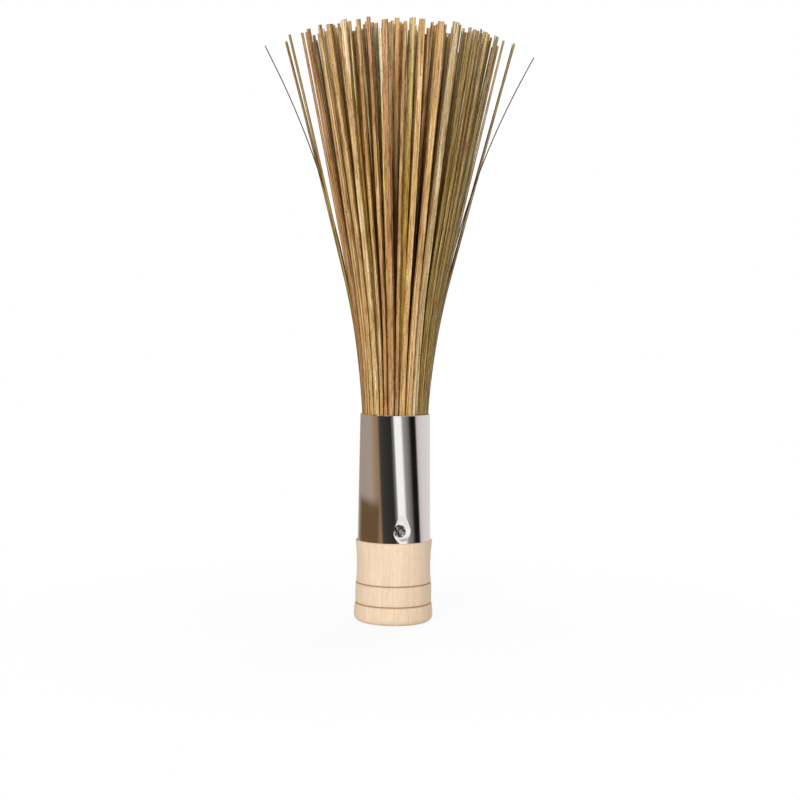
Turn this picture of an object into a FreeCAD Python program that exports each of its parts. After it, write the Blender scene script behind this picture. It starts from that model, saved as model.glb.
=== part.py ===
# Bamboo wok brush, standing on its wooden end, in millimetres.
#
# A sheaf of split bamboo is packed into a tapered steel ferrule and fans out above it. A turned
# wooden base closes the ferrule from below: its spigot fills the lower end of the ferrule, its
# shoulder carries the ferrule's edge, and one round-head screw, sunk in a dish that it has pressed
# into the ferrule, pins the two together. The butts of the splints stand on top of the spigot.
#
# The origin is the centre of the base's foot, +Z runs up the axis of the brush, and -Y is the front.
import FreeCAD, Part

import math
import operator
import os
import random

import Sketcher

# Each driving dimension: its name in the sheet, its value and what it is.
SIZES = [
    ("foot_diameter", 40.0, "base, widest at the foot"),
    ("foot_round", 3.2, "rounding of the foot's edge"),
    ("base_height", 40.7, "foot to the shoulder that carries the ferrule"),
    ("low_groove_height", 9.2, "foot to the lower groove's middle"),
    ("high_groove_height", 19.4, "foot to the upper groove's middle"),
    ("groove_width", 1.1, "mouth of each turned groove"),
    ("groove_depth", 0.8, "depth of each turned groove"),
    ("low_band_diameter", 38.8, "base just under the lower groove"),
    ("middle_band_diameter", 38.1, "base between the grooves"),
    ("waist_diameter", 37.5, "base just above the upper groove"),
    ("waist_hollow", 90.0, "radius of the hollow between groove and rim"),
    ("rim_diameter", 38.4, "base at the shoulder"),
    ("rim_chamfer", 0.5, "break on the shoulder's edge"),
    ("spigot_length", 22.0, "wood inside the ferrule"),
    ("spigot_chamfer", 1.0, "lead at the spigot's end"),
    ("spigot_clearance", 0.05, "wood to steel, on the radius"),
    ("ferrule_length", 62.9, "shoulder to the ferrule's mouth"),
    ("ferrule_low_diameter", 36.4, "outside, at the shoulder"),
    ("ferrule_mouth_diameter", 34.8, "outside, at the mouth"),
    ("ferrule_wall", 0.5, "steel sheet"),
    ("ferrule_edge", 0.15, "break on the mouth's outer edge"),
    ("seam_depth", 0.18, "closed seam of the rolled sheet, at the back"),
    ("screw_lift", 6.3, "shoulder to the screw's axis"),
    ("screw_bearing", -80.7, "direction of the screw, in degrees from +X"),
    ("screw_head_diameter", 6.2, "round head"),
    ("screw_head_height", 1.9, "seat to the crown of the head"),
    ("screw_head_edge", 0.5, "straight rim of the head"),
    ("screw_shank_diameter", 3.0, "shank"),
    ("screw_length", 12.0, "seat to point"),
    ("screw_point", 3.0, "length of the point"),
    ("screw_clearance", 0.05, "round the shank and under the head"),
    ("recess_span", 3.6, "cross recess, end to end"),
    ("recess_width", 0.95, "each slot of the recess"),
    ("recess_depth", 1.2, "recess below the crown"),
    ("recess_turn", 38.0, "turn of the cross, in degrees"),
    ("dish_radius", 16.0, "ball that the dish round the screw fits"),
    ("dish_depth", 0.8, "dish below the ferrule's surface"),
    ("dish_clearance", 0.1, "wood behind the dish"),
    ("core_radius", 1.3, "left open along the axis of the sheaf"),
    ("splint_side_gap", 0.2, "between neighbours in a row"),
    ("splint_row_gap", 0.3, "between rows"),
    ("splint_ferrule_gap", 0.15, "outer row to the ferrule's mouth"),
    ("splint_butt_gap", 0.1, "butts to the spigot"),
    ("splint_free_length", 190.0, "mouth to tip, along the splint"),
    ("splint_tip_spread", 2.2, "most that a tip is long or short"),
    ("bend_start", 22.0, "start of the bend to the ferrule's mouth"),
    ("bend_length", 92.0, "curved stretch of a usual splint"),
    ("fan_spread", 31.5, "outward travel of an outer tip"),
    ("fan_uneven", 0.7, "most that a tip strays outwards or inwards"),
    ("parting_bearing", -96.0, "gap that opens in the front, in degrees from +X"),
    ("parting_reach", 22.0, "how far round the gap pushes, in degrees"),
]

# How many splints stand in each row, from the ferrule inwards. Each row is fitted to the room that
# the ferrule leaves it, so the splints of the rows that don't show are fewer and wider.
ROW_COUNTS = (39, 27, 22, 14, 11, 8, 6, 4, 3)

# The outer row from the left side, past the front, to the right side, as the sheaf shows it: width
# before fitting, tip above the usual length, extra outward travel and share of the length that curves.
FRONT_ROW_START = 163.0
USUAL_CURVE = None
LONG_CURVE_SHARE = 0.95
FRONT_ROW = [
    (1.3, 2.0, 11.5, USUAL_CURVE),
    (0.6, 3.5, 22.5, LONG_CURVE_SHARE),
    (1.4, 3.0, 8.5, USUAL_CURVE),
    (2.2, 1.5, 1.0, USUAL_CURVE),
    (2.4, 0.5, 0.0, USUAL_CURVE),
    (2.0, 1.0, 0.0, USUAL_CURVE),
    (3.6, 1.0, 0.3, USUAL_CURVE),
    (2.6, 0.5, 0.0, USUAL_CURVE),
    (2.8, 1.5, 0.0, USUAL_CURVE),
    (1.6, 1.0, 0.0, USUAL_CURVE),
    (1.6, 1.8, 0.0, USUAL_CURVE),
    (2.8, 0.5, 0.2, USUAL_CURVE),
    (1.6, -0.5, 0.0, USUAL_CURVE),
    (2.8, 1.0, 0.4, USUAL_CURVE),
    (3.0, 0.5, 0.0, USUAL_CURVE),
    (3.4, 1.0, 0.0, USUAL_CURVE),
    (1.4, -3.0, 0.4, USUAL_CURVE),
    (2.6, 0.0, 0.0, USUAL_CURVE),
    (2.2, -0.5, 0.0, USUAL_CURVE),
    (2.6, -1.0, -1.0, USUAL_CURVE),
    (1.5, 0.5, 1.5, USUAL_CURVE),
    (1.3, 0.5, 5.0, USUAL_CURVE),
    (0.6, -2.5, 22.0, LONG_CURVE_SHARE),
    (2.0, 3.0, 14.0, USUAL_CURVE),
    (1.6, 0.5, 6.5, USUAL_CURVE),
]
USUAL_WIDTH = 2.5
NARROWEST_SHARE = 0.7
WIDEST_SHARE = 1.3
THINNEST_SHARE = 0.85
LEAST_ROOM_SHARE = 0.6
HAIR_THICKNESS_SHARE = 0.85
SPREAD_POWER = 0.85
PARTING_PUSH = 0.85
BIAS_JITTER = 0.35
SWING_SHARE = 0.8
SEED = 11


class Size:
    """A length together with the expression over the sheet's cells that gives it."""

    def __init__(self, value, text):
        self.value = float(value)
        self.text = text

    def joined(self, other, sign, combine, swap=False):
        other = other if isinstance(other, Size) else Size(other, str(other))
        first, second = (other, self) if swap else (self, other)
        return Size(combine(first.value, second.value), f"({first.text} {sign} {second.text})")

    def __add__(self, other):
        return self.joined(other, "+", operator.add)

    def __sub__(self, other):
        return self.joined(other, "-", operator.sub)

    def __mul__(self, other):
        return self.joined(other, "*", operator.mul)

    def __rmul__(self, other):
        return self.joined(other, "*", operator.mul, swap=True)

    def __truediv__(self, other):
        return self.joined(other, "/", operator.truediv)

    def __neg__(self):
        return Size(-self.value, f"(0 - {self.text})")

    def root(self):
        return Size(math.sqrt(self.value), f"sqrt({self.text})")


def make_sheet(doc):
    """Writes the driving dimensions, one to a row, and gives them back by name."""
    sheet = doc.addObject("Spreadsheet::Sheet", "Sizes")
    for row, (name, value, meaning) in enumerate(SIZES, start=1):
        sheet.set(f"A{row}", meaning)
        sheet.set(f"B{row}", str(value))
        sheet.setAlias(f"B{row}", name)
    doc.recompute()
    return {name: Size(sheet.get(name), f"Sizes.{name}") for name, _, _ in SIZES}


def bind(thing, **properties):
    """Sets each property and ties it to the sheet."""
    for name, size in properties.items():
        setattr(thing, name, size.value)
        thing.setExpression(name, size.text)


def new_sketch(body, name, role, lift=None):
    """A sketch on one of the body's own planes, moved up that plane by lift."""
    sketch = body.newObject("Sketcher::SketchObject", name)
    plane = next(f for f in body.Origin.OriginFeatures if f.Role == role)
    sketch.AttachmentSupport = (plane, [""])
    sketch.MapMode = "FlatFace"
    if lift is not None:
        sketch.AttachmentOffset = FreeCAD.Placement(
            FreeCAD.Vector(0, lift.value, 0), FreeCAD.Rotation()
        )
        sketch.setExpression("AttachmentOffset.Base.y", lift.text)
    return sketch


def arc_between(start, end, radius):
    """The short arc from start to end, and whether it had to be drawn from end to start.

    It swells to the right of the way from start to end, or to the left if radius is negative."""
    middle = (start + end) * 0.5
    chord = end - start
    right = FreeCAD.Vector(chord.y, -chord.x, 0).normalize()
    reach = math.sqrt(radius**2 - (chord.Length / 2) ** 2)
    centre = middle - right * math.copysign(reach, radius)
    first, last = (start, end) if radius > 0 else (end, start)
    angles = [math.atan2(p.y - centre.y, p.x - centre.x) for p in (first, last)]
    circle = Part.Circle(centre, FreeCAD.Vector(0, 0, 1), abs(radius))
    return Part.ArcOfCircle(circle, angles[0], angles[1]), radius < 0


def draw_outline(sketch, corners, curves=None):
    """Draws a closed outline whose corners are pairs of sizes, 0 for a corner on an axis.

    curves gives the signed radius of each side that is an arc, by the side's number."""
    curves = curves or {}
    places = [FreeCAD.Vector(*(getattr(c, "value", c) for c in corner), 0) for corner in corners]
    ends = []
    for number, start in enumerate(places):
        end = places[(number + 1) % len(places)]
        if number in curves:
            arc, turned = arc_between(start, end, curves[number].value)
            side = sketch.addGeometry(arc, False)
            ends.append((side, 2, 1) if turned else (side, 1, 2))
        else:
            side = sketch.addGeometry(Part.LineSegment(start, end), False)
            ends.append((side, 1, 2))
    for number, (side, first, last) in enumerate(ends):
        following, its_first, _ = ends[(number + 1) % len(ends)]
        sketch.addConstraint(Sketcher.Constraint("Coincident", side, last, following, its_first))
        for kind, axis, size in zip(("DistanceX", "DistanceY"), (-2, -1), corners[number]):
            if isinstance(size, Size):
                held = sketch.addConstraint(
                    Sketcher.Constraint(kind, -1, 1, side, first, size.value)
                )
                sketch.setExpression(f"Constraints[{held}]", size.text)
            else:
                sketch.addConstraint(Sketcher.Constraint("PointOnObject", side, first, axis))
        if number in curves:
            size = curves[number] if curves[number].value > 0 else -curves[number]
            held = sketch.addConstraint(Sketcher.Constraint("Radius", side, size.value))
            sketch.setExpression(f"Constraints[{held}]", size.text)
    return sketch


def turned(body, kind, name, sketch, axis):
    """Turns a sketch a full circle about one of its own axes."""
    feature = body.newObject(kind, name)
    feature.Profile = sketch
    feature.ReferenceAxis = (sketch, [axis])
    feature.Angle = 360
    return feature


def ring_edges(shape, height, radius):
    """Names of the round edges about the Z axis at that height and radius."""
    names = []
    for number, edge in enumerate(shape.Edges, start=1):
        curve = edge.Curve
        if isinstance(curve, Part.Circle) and abs(curve.Center.z - height) < 1e-4:
            if abs(curve.Radius - radius) < 1e-4:
                names.append(f"Edge{number}")
    return names


def ferrule_radius(s, height, inside=True):
    """Radius of the ferrule's wall at a height above the shoulder."""
    low = s["ferrule_low_diameter"] / 2
    mouth = s["ferrule_mouth_diameter"] / 2
    outside = low - (low - mouth) * height / s["ferrule_length"]
    return outside - s["ferrule_wall"] if inside else outside


def dish_centre(s):
    """Distance from the brush's axis to the middle of the ball that the dish fits."""
    surface = ferrule_radius(s, s["screw_lift"], inside=False)
    return surface - s["dish_depth"] + s["dish_radius"]


def screw_seat(s):
    """Distance from the brush's axis to the underside of the screw's head."""
    ball, head = s["dish_radius"], s["screw_head_diameter"] / 2
    return dish_centre(s) - (ball * ball - head * head).root() + s["screw_clearance"]


def face_screw(piece, s):
    """Turns a piece that was made with its screw along +X, so that the screw is at the front."""
    turn = FreeCAD.Rotation(FreeCAD.Vector(0, 0, 1), s["screw_bearing"].value)
    piece.Placement = FreeCAD.Placement(FreeCAD.Vector(), turn)


def make_base(doc, s):
    """The turned wooden base: foot, two grooves, waist, shoulder and spigot."""
    body = doc.addObject("PartDesign::Body", "Base")
    body.Label = "base"
    foot, rim = s["foot_diameter"] / 2, s["rim_diameter"] / 2
    low_band, waist = s["low_band_diameter"] / 2, s["waist_diameter"] / 2
    middle_band = s["middle_band_diameter"] / 2
    low, high = s["low_groove_height"], s["high_groove_height"]
    mouth, depth = s["groove_width"] / 2, s["groove_depth"]
    shoulder, spigot = s["base_height"], s["spigot_length"]
    spigot_low = ferrule_radius(s, Size(0, "0")) - s["spigot_clearance"]
    spigot_top = ferrule_radius(s, spigot) - s["spigot_clearance"]
    lead = s["spigot_chamfer"]
    outline = draw_outline(
        new_sketch(body, "BaseOutline", "XZ_Plane"),
        [
            (0, 0),
            (foot, 0),
            (low_band, low - mouth),
            (middle_band - depth, low),
            (middle_band, low + mouth),
            (middle_band, high - mouth),
            (waist - depth, high),
            (waist, high + mouth),
            (rim, shoulder - s["rim_chamfer"]),
            (rim - s["rim_chamfer"], shoulder),
            (spigot_low, shoulder),
            (spigot_top, shoulder + spigot - lead),
            (spigot_top - lead, shoulder + spigot),
            (0, shoulder + spigot),
        ],
        {7: -s["waist_hollow"]},
    )
    turning = turned(body, "PartDesign::Revolution", "BaseTurning", outline, "V_Axis")
    doc.recompute()
    fillet = body.newObject("PartDesign::Fillet", "FootRound")
    fillet.Base = (turning, ring_edges(turning.Shape, 0, foot.value))
    bind(fillet, Radius=s["foot_round"])
    doc.recompute()
    wood = body.Tip.Shape.Volume

    # The dish's back and the screw's hole are cut together, turned about the screw's own axis.
    ball = s["dish_radius"] + s["ferrule_wall"] + s["dish_clearance"]
    hole = s["screw_shank_diameter"] / 2 + s["screw_clearance"]
    reach = s["screw_lift"] - s["dish_clearance"]
    centre = dish_centre(s)
    hole_end = screw_seat(s) - s["screw_length"] - s["screw_clearance"]
    relief = draw_outline(
        new_sketch(body, "ScrewRelief", "XZ_Plane", lift=shoulder + s["screw_lift"]),
        [
            (hole_end, 0),
            (hole_end, hole),
            (centre - (ball * ball - hole * hole).root(), hole),
            (centre - (ball * ball - reach * reach).root(), reach),
            (centre, reach),
            (centre, 0),
        ],
        {2: -ball},
    )
    turned(body, "PartDesign::Groove", "ScrewReliefCut", relief, "H_Axis")
    doc.recompute()
    check_cut("base", wood, body.Tip.Shape.Volume)
    face_screw(body, s)
    return body


def make_ferrule(doc, s):
    """The tapered sleeve of rolled sheet: seam at the back, dish and screw hole at the front."""
    skins = {}
    for side, inset in (("Outside", Size(0, "0")), ("Inside", s["ferrule_wall"])):
        cone = doc.addObject("Part::Cone", f"Ferrule{side}")
        bind(
            cone,
            Radius1=s["ferrule_low_diameter"] / 2 - inset,
            Radius2=s["ferrule_mouth_diameter"] / 2 - inset,
            Height=s["ferrule_length"],
        )
        ball = doc.addObject("Part::Sphere", f"Dish{side}")
        bind(ball, Radius=s["dish_radius"] + inset)
        place_along_screw(ball, dish_centre(s), s)
        skins[side] = cut(doc, f"Dished{side}", cone, ball)
    sleeve = cut(doc, "Sleeve", skins["Outside"], skins["Inside"])

    hole = doc.addObject("Part::Cylinder", "FerruleHole")
    bind(
        hole,
        Radius=s["screw_shank_diameter"] / 2 + s["screw_clearance"],
        Height=s["ferrule_low_diameter"] / 2,
    )
    hole.Placement.Rotation = FreeCAD.Rotation(FreeCAD.Vector(0, 1, 0), 90)
    hole.Placement.Base.z = s["screw_lift"].value
    hole.setExpression("Placement.Base.z", s["screw_lift"].text)
    drilled = cut(doc, "DrilledSleeve", sleeve, hole)

    # The seam is the notch that a square bar leaves, laid corner first along the tapered back.
    seam = doc.addObject("Part::Box", "Seam")
    bar = s["seam_depth"] * 4
    bind(seam, Length=bar, Width=bar, Height=s["ferrule_length"] * 2)
    taper = (s["ferrule_low_diameter"].value - s["ferrule_mouth_diameter"].value) / 2
    lean = math.degrees(math.atan(taper / s["ferrule_length"].value))
    corner = FreeCAD.Rotation(FreeCAD.Vector(0, 0, 1), 135)
    tilt = FreeCAD.Rotation(FreeCAD.Vector(0, 1, 0), lean)
    start = FreeCAD.Vector(s["seam_depth"].value - s["ferrule_low_diameter"].value / 2, 0, 0)
    seam.Placement = FreeCAD.Placement(start, tilt.multiply(corner))
    seam.Placement.Base -= tilt.multVec(FreeCAD.Vector(0, 0, s["ferrule_length"].value / 2))
    seamed = cut(doc, "SeamedSleeve", drilled, seam)
    doc.recompute()

    ferrule = doc.addObject("Part::Chamfer", "Ferrule")
    ferrule.Label = "ferrule"
    ferrule.Base = seamed
    mouth = s["ferrule_mouth_diameter"].value / 2
    edge = s["ferrule_edge"].value
    ferrule.Edges = [
        (int(name[4:]), edge, edge)
        for name in ring_edges(seamed.Shape, s["ferrule_length"].value, mouth)
    ]
    face_screw(ferrule, s)
    ferrule.Placement.Base.z = s["base_height"].value
    ferrule.setExpression("Placement.Base.z", s["base_height"].text)
    return ferrule


def place_along_screw(piece, distance, s):
    """Puts a piece on the screw's axis, in the ferrule's own frame."""
    piece.Placement.Base = FreeCAD.Vector(distance.value, 0, s["screw_lift"].value)
    piece.setExpression("Placement.Base.x", distance.text)
    piece.setExpression("Placement.Base.z", s["screw_lift"].text)


def cut(doc, name, base, tool):
    """Takes the tool away from the base."""
    result = doc.addObject("Part::Cut", name)
    result.Base = base
    result.Tool = tool
    return result


def make_screw(doc, s):
    """The round-head screw: head with a cross recess, shank and point."""
    body = doc.addObject("PartDesign::Body", "Screw")
    body.Label = "screw"
    seat, head = screw_seat(s), s["screw_head_diameter"] / 2
    shank = s["screw_shank_diameter"] / 2
    rim, crown = s["screw_head_edge"], s["screw_head_height"]
    rise = crown - rim
    dome = (head * head + rise * rise) / (2 * rise)
    point = seat - s["screw_length"]
    height = s["base_height"] + s["screw_lift"]
    outline = draw_outline(
        new_sketch(body, "ScrewOutline", "XZ_Plane", lift=height),
        [
            (point, 0),
            (seat + crown, 0),
            (seat + rim, head),
            (seat, head),
            (seat, shank),
            (point + s["screw_point"], shank),
        ],
        {1: dome},
    )
    turned(body, "PartDesign::Revolution", "ScrewTurning", outline, "H_Axis")
    doc.recompute()
    steel = body.Tip.Shape.Volume

    arm, half = s["recess_span"] / 2, s["recess_width"] / 2
    cross = new_sketch(body, "RecessOutline", "YZ_Plane")
    draw_outline(
        cross,
        [
            (half, half),
            (arm, half),
            (arm, -half),
            (half, -half),
            (half, -arm),
            (-half, -arm),
            (-half, -half),
            (-arm, -half),
            (-arm, half),
            (-half, half),
            (-half, arm),
            (half, arm),
        ],
    )
    cross.AttachmentOffset = FreeCAD.Placement(
        FreeCAD.Vector(0, height.value, (seat + crown).value),
        FreeCAD.Rotation(FreeCAD.Vector(0, 0, 1), s["recess_turn"].value),
    )
    cross.setExpression("AttachmentOffset.Base.y", height.text)
    cross.setExpression("AttachmentOffset.Base.z", (seat + crown).text)
    recess = body.newObject("PartDesign::Pocket", "Recess")
    recess.Profile = cross
    recess.Type = "Length"
    bind(recess, Length=s["recess_depth"])
    doc.recompute()
    check_cut("screw", steel, body.Tip.Shape.Volume)
    face_screw(body, s)
    return body


def check_cut(name, before, after):
    """A cut that points away from the solid takes nothing off it and shows no error."""
    if after >= before:
        raise RuntimeError(f"a cut in the {name} took nothing away")


def splint_shape(width, thickness, upright, curve, lean, straight):
    """One splint of bamboo in its own frame, its butt's middle at the origin and leaning to +X.

    It is upright at first, then bends evenly through lean over the length of curve, and is
    straight from there to its square tip."""
    radius = curve / lean
    centre = FreeCAD.Vector(radius, 0, upright)
    away = FreeCAD.Vector(-math.cos(lean), 0, math.sin(lean))
    halfway = FreeCAD.Vector(-math.cos(lean / 2), 0, math.sin(lean / 2))
    onward = FreeCAD.Vector(math.sin(lean), 0, math.cos(lean)) * straight
    faces = []
    for offset in (-thickness / 2, thickness / 2):
        bend = radius - offset
        butt = FreeCAD.Vector(offset, 0, 0)
        start = FreeCAD.Vector(offset, 0, upright)
        end = centre + away * bend
        faces.append(
            [
                Part.LineSegment(butt, start).toShape(),
                Part.Arc(start, centre + halfway * bend, end).toShape(),
                Part.LineSegment(end, end + onward).toShape(),
            ]
        )
    inner, outer = faces
    butt_end = Part.LineSegment(inner[0].Vertexes[0].Point, outer[0].Vertexes[0].Point).toShape()
    tip_end = Part.LineSegment(inner[2].Vertexes[-1].Point, outer[2].Vertexes[-1].Point).toShape()
    side = Part.Face(Part.Wire(Part.__sortEdges__(inner + outer + [butt_end, tip_end])))
    side.translate(FreeCAD.Vector(0, -width / 2, 0))
    return side.extrude(FreeCAD.Vector(0, width, 0))


def splint_bend(s, row_share, tip, extra, curve_share, uneven=0.0):
    """Lean, curved length and straight length of a splint.

    row_share is its row's radius as a share of the outer row's."""
    length = s["bend_start"].value + s["splint_free_length"].value + tip
    curve = length * curve_share if curve_share else s["bend_length"].value
    travel = (s["fan_spread"].value + uneven) * row_share**SPREAD_POWER + extra
    return travel / (length - curve / 2), curve, length - curve


def mouth_sweep(s):
    """How far the splint that bends most has moved outwards where it leaves the ferrule."""
    start = s["bend_start"].value
    bends = [splint_bend(s, 1, tip, extra, curved) for _, tip, extra, curved in FRONT_ROW]
    return max(start**2 * lean / (2 * curve) for lean, curve, _ in bends)


def row_radii(s):
    """Outer radius and inner face distance of each row of splints, from the ferrule inwards."""
    butts = ferrule_radius(s, s["spigot_length"]).value
    mouth = ferrule_radius(s, s["ferrule_length"]).value
    sheaf = min(butts, mouth - mouth_sweep(s)) - s["splint_ferrule_gap"].value
    pitch = (sheaf - s["core_radius"].value) / len(ROW_COUNTS)
    radii = [sheaf - pitch * number for number in range(len(ROW_COUNTS))]
    return [(radius, radius - pitch + s["splint_row_gap"].value) for radius in radii]


def usual_splints(s, count, draw):
    """Splints of seeded width and length, in the form of the front row's entries."""
    spread = s["splint_tip_spread"].value
    return [
        (
            USUAL_WIDTH * draw.uniform(NARROWEST_SHARE, WIDEST_SHARE),
            draw.uniform(-spread, spread),
            0.0,
            USUAL_CURVE,
        )
        for _ in range(count)
    ]


def lay_out_row(s, number, outer, inner, draw):
    """Shape and place of each splint in one row.

    Every splint keeps to its own wedge about the axis, at its root and all the way up, because it
    leans outwards in a direction inside that wedge. So neighbours never cross, however far each
    of them leans. Rows never cross because an inner row always leans less than the one outside."""
    gap = s["splint_side_gap"].value
    least_depth = (outer - inner) * LEAST_ROOM_SHARE
    widest = 2 * math.sqrt(outer**2 - (inner + least_depth) ** 2)
    if number == 0:
        entries = FRONT_ROW + usual_splints(s, ROW_COUNTS[0] - len(FRONT_ROW), draw)
        bearing = FRONT_ROW_START
    else:
        entries = usual_splints(s, ROW_COUNTS[number], draw)
        bearing = draw.uniform(0, 360)
    whole = sum(entry[0] + gap for entry in entries)
    root = s["base_height"].value + s["spigot_length"].value + s["splint_butt_gap"].value
    upright = s["base_height"].value + s["ferrule_length"].value - s["bend_start"].value - root
    outer_row = row_radii(s)[0][0]
    splints = []
    for share, tip, extra, curve_share in entries:
        wedge = 360 * (share + gap) / whole
        bearing += wedge / 2
        width = min(2 * inner * math.tan(math.radians(wedge / 2)) - gap, widest)
        face = math.sqrt(outer**2 - (width / 2) ** 2)
        thickness = (face - inner) * draw.uniform(THINNEST_SHARE, 1)
        thickness = min(thickness, width * HAIR_THICKNESS_SHARE)
        middle = face - thickness / 2
        uneven = s["fan_uneven"].value * draw.uniform(-1, 1)
        lean, curve, straight = splint_bend(
            s, outer / outer_row, tip, extra, curve_share, uneven
        )
        shape = splint_shape(width, thickness, upright, curve, lean, straight)
        direction = bearing + lean_bias(s, bearing, wedge, width, draw)
        centre = FreeCAD.Vector(
            middle * math.cos(math.radians(bearing)), middle * math.sin(math.radians(bearing)), root
        )
        turn = FreeCAD.Rotation(FreeCAD.Vector(0, 0, 1), direction)
        splints.append((shape, FreeCAD.Placement(centre, turn)))
        bearing += wedge / 2
    return splints


def lean_bias(s, bearing, wedge, width, draw):
    """How far a splint leans to the side of straight out: away from the parting, and unevenly.

    Turning it that far must not swing its corners over the sides of its wedge or its row."""
    away = (bearing - s["parting_bearing"].value + 180) % 360 - 180
    push = PARTING_PUSH * math.exp(-abs(away) / s["parting_reach"].value)
    push = math.copysign(push, away)
    jitter = BIAS_JITTER * draw.uniform(-1, 1)
    bias = (wedge / 2) * max(-PARTING_PUSH, min(PARTING_PUSH, push + jitter))
    beside = s["splint_side_gap"].value / math.sin(math.radians(wedge / 2))
    room = min(beside, s["splint_row_gap"].value)
    largest = SWING_SHARE * math.degrees(math.atan(room / width))
    return max(-largest, min(largest, bias))


def make_splints(doc, s):
    """The sheaf: every splint of the outer row by itself, then each inner row as one group."""
    draw = random.Random(SEED)
    pieces = []
    for number, (outer, inner) in enumerate(row_radii(s)):
        splints = lay_out_row(s, number, outer, inner, draw)
        if number == 0:
            for place, (shape, placement) in enumerate(splints, start=1):
                piece = doc.addObject("Part::Feature", f"OuterSplint{place:02d}")
                piece.Label = f"outer_splint_{place:02d}"
                piece.Shape = shape
                piece.Placement = placement
                pieces.append(piece)
            continue
        for shape, placement in splints:
            shape.Placement = placement
        piece = doc.addObject("Part::Feature", f"SplintRow{number + 1}")
        piece.Label = f"splint_row_{number + 1}"
        piece.Shape = Part.makeCompound([shape for shape, _ in splints])
        pieces.append(piece)
    return pieces


def write_parts(doc, pieces):
    """Checks every object, then writes each sub-part's solids under its own name."""
    for thing in doc.Objects:
        if "Invalid" in thing.State or "Error" in thing.State:
            raise RuntimeError(f"{thing.Label} failed: {thing.State}")
    for piece in pieces:
        if piece.Shape.isNull() or not piece.Shape.isValid() or not piece.Shape.Solids:
            raise RuntimeError(f"{piece.Label} has no valid solid")
    os.makedirs("parts", exist_ok=True)
    for piece in pieces:
        piece.Shape.exportStep(f"parts/{piece.Label}.step")
        print(f"{piece.Label}: {len(piece.Shape.Solids)} solids, {piece.Shape.Volume:.0f} mm3")


def main():
    doc = FreeCAD.newDocument("WokBrush")
    sizes = make_sheet(doc)
    pieces = [make_base(doc, sizes), make_ferrule(doc, sizes), make_screw(doc, sizes)]
    pieces += make_splints(doc, sizes)
    doc.recompute()
    write_parts(doc, pieces)


main()
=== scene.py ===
# %% [markdown]
# The bamboo wok brush. A sheaf of split bamboo sits in a polished steel ferrule, and a turned wooden
# base closes the ferrule from below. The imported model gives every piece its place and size, so this
# lesson is about surfaces: turning each plain solid into split bamboo, sheet steel and sanded wood.

import math
import random
from collections import namedtuple

import bmesh
import bpy
from mathutils import Matrix, Vector, noise


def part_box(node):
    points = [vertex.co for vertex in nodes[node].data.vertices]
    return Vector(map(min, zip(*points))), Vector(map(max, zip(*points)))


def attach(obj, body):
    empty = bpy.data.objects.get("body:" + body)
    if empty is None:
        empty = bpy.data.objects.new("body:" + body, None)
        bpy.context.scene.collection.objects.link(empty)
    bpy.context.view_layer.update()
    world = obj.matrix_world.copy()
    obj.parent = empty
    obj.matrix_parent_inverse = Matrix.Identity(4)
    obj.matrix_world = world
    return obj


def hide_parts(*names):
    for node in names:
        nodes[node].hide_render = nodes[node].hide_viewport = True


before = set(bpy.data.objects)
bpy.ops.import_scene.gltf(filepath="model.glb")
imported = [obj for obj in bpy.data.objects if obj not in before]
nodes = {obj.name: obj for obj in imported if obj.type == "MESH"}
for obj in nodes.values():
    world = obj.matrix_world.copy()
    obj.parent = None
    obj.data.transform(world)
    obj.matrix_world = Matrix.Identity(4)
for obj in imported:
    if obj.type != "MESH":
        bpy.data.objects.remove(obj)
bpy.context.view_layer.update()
MM = 0.001

# %% [markdown]
# The camera comes first, because every later choice is judged through it. The brush is seen from
# about 0.8 m with a long lens at half its height, so its foot shows a little from above and its tips
# a little from below. The horizon lies above the frame's middle. A tilt gives a little more than half
# of that and a shift of the lens the rest, so that the brush hardly looks tapered. Places are in
# metres, the lens and the film in millimetres, and the shift is a share of the film's width.

# %% Camera
CAMERA_DISTANCE = 0.79
CAMERA_HEIGHT = 0.152
CAMERA_ASIDE = 0.0019
CAMERA_LENS = 71.1
CAMERA_FILM = 36
CAMERA_SHIFT = -0.045
CAMERA_TILT = math.radians(-1.7)
CAMERA_ROLL = math.radians(-0.6)

camera_data = bpy.data.cameras.new("camera")
camera_data.lens = CAMERA_LENS
camera_data.sensor_width = CAMERA_FILM
camera_data.shift_y = CAMERA_SHIFT
camera = bpy.data.objects.new("camera", camera_data)
bpy.context.scene.collection.objects.link(camera)
camera.location = (CAMERA_ASIDE, -CAMERA_DISTANCE, CAMERA_HEIGHT)
camera.rotation_euler = (math.radians(90) + CAMERA_TILT, CAMERA_ROLL, 0)
bpy.context.scene.camera = camera
bpy.context.scene.view_settings.view_transform = "Standard"
print("camera:", CAMERA_DISTANCE, "m away,", CAMERA_HEIGHT, "m up, lens", CAMERA_LENS, "mm")

# %% [markdown]
# Materials are made of nodes, and nodes are wordy to write. A few helpers keep the later cells short.
# One turns a paint chip's colour into the linear colour that nodes work in, and one adds a node with
# its settings. The rest add the nodes that come up again and again and give back the socket that the
# next node needs. A mix node has sockets for numbers, vectors and colours under the same names, so
# its colour sockets are picked by their number.

# %% Helpers for nodes
MIX_SHARE, MIX_FIRST, MIX_SECOND, MIX_COLOUR = 0, 6, 7, 2


def linear(chip):
    """The linear colour of a six-digit paint chip, by the sRGB curve."""
    parts = [int(chip[k : k + 2], 16) / 255 for k in (0, 2, 4)]
    return tuple(p / 12.92 if p < 0.04045 else ((p + 0.055) / 1.055) ** 2.4 for p in parts) + (1.0,)


def add(tree, kind, inputs=None, **settings):
    """A node of that kind, with its settings and its inputs set or linked."""
    node = tree.nodes.new(kind)
    for name, value in settings.items():
        setattr(node, name, value)
    for name, value in (inputs or {}).items():
        if isinstance(value, bpy.types.NodeSocket):
            tree.links.new(value, node.inputs[name])
        else:
            node.inputs[name].default_value = value
    return node


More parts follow.
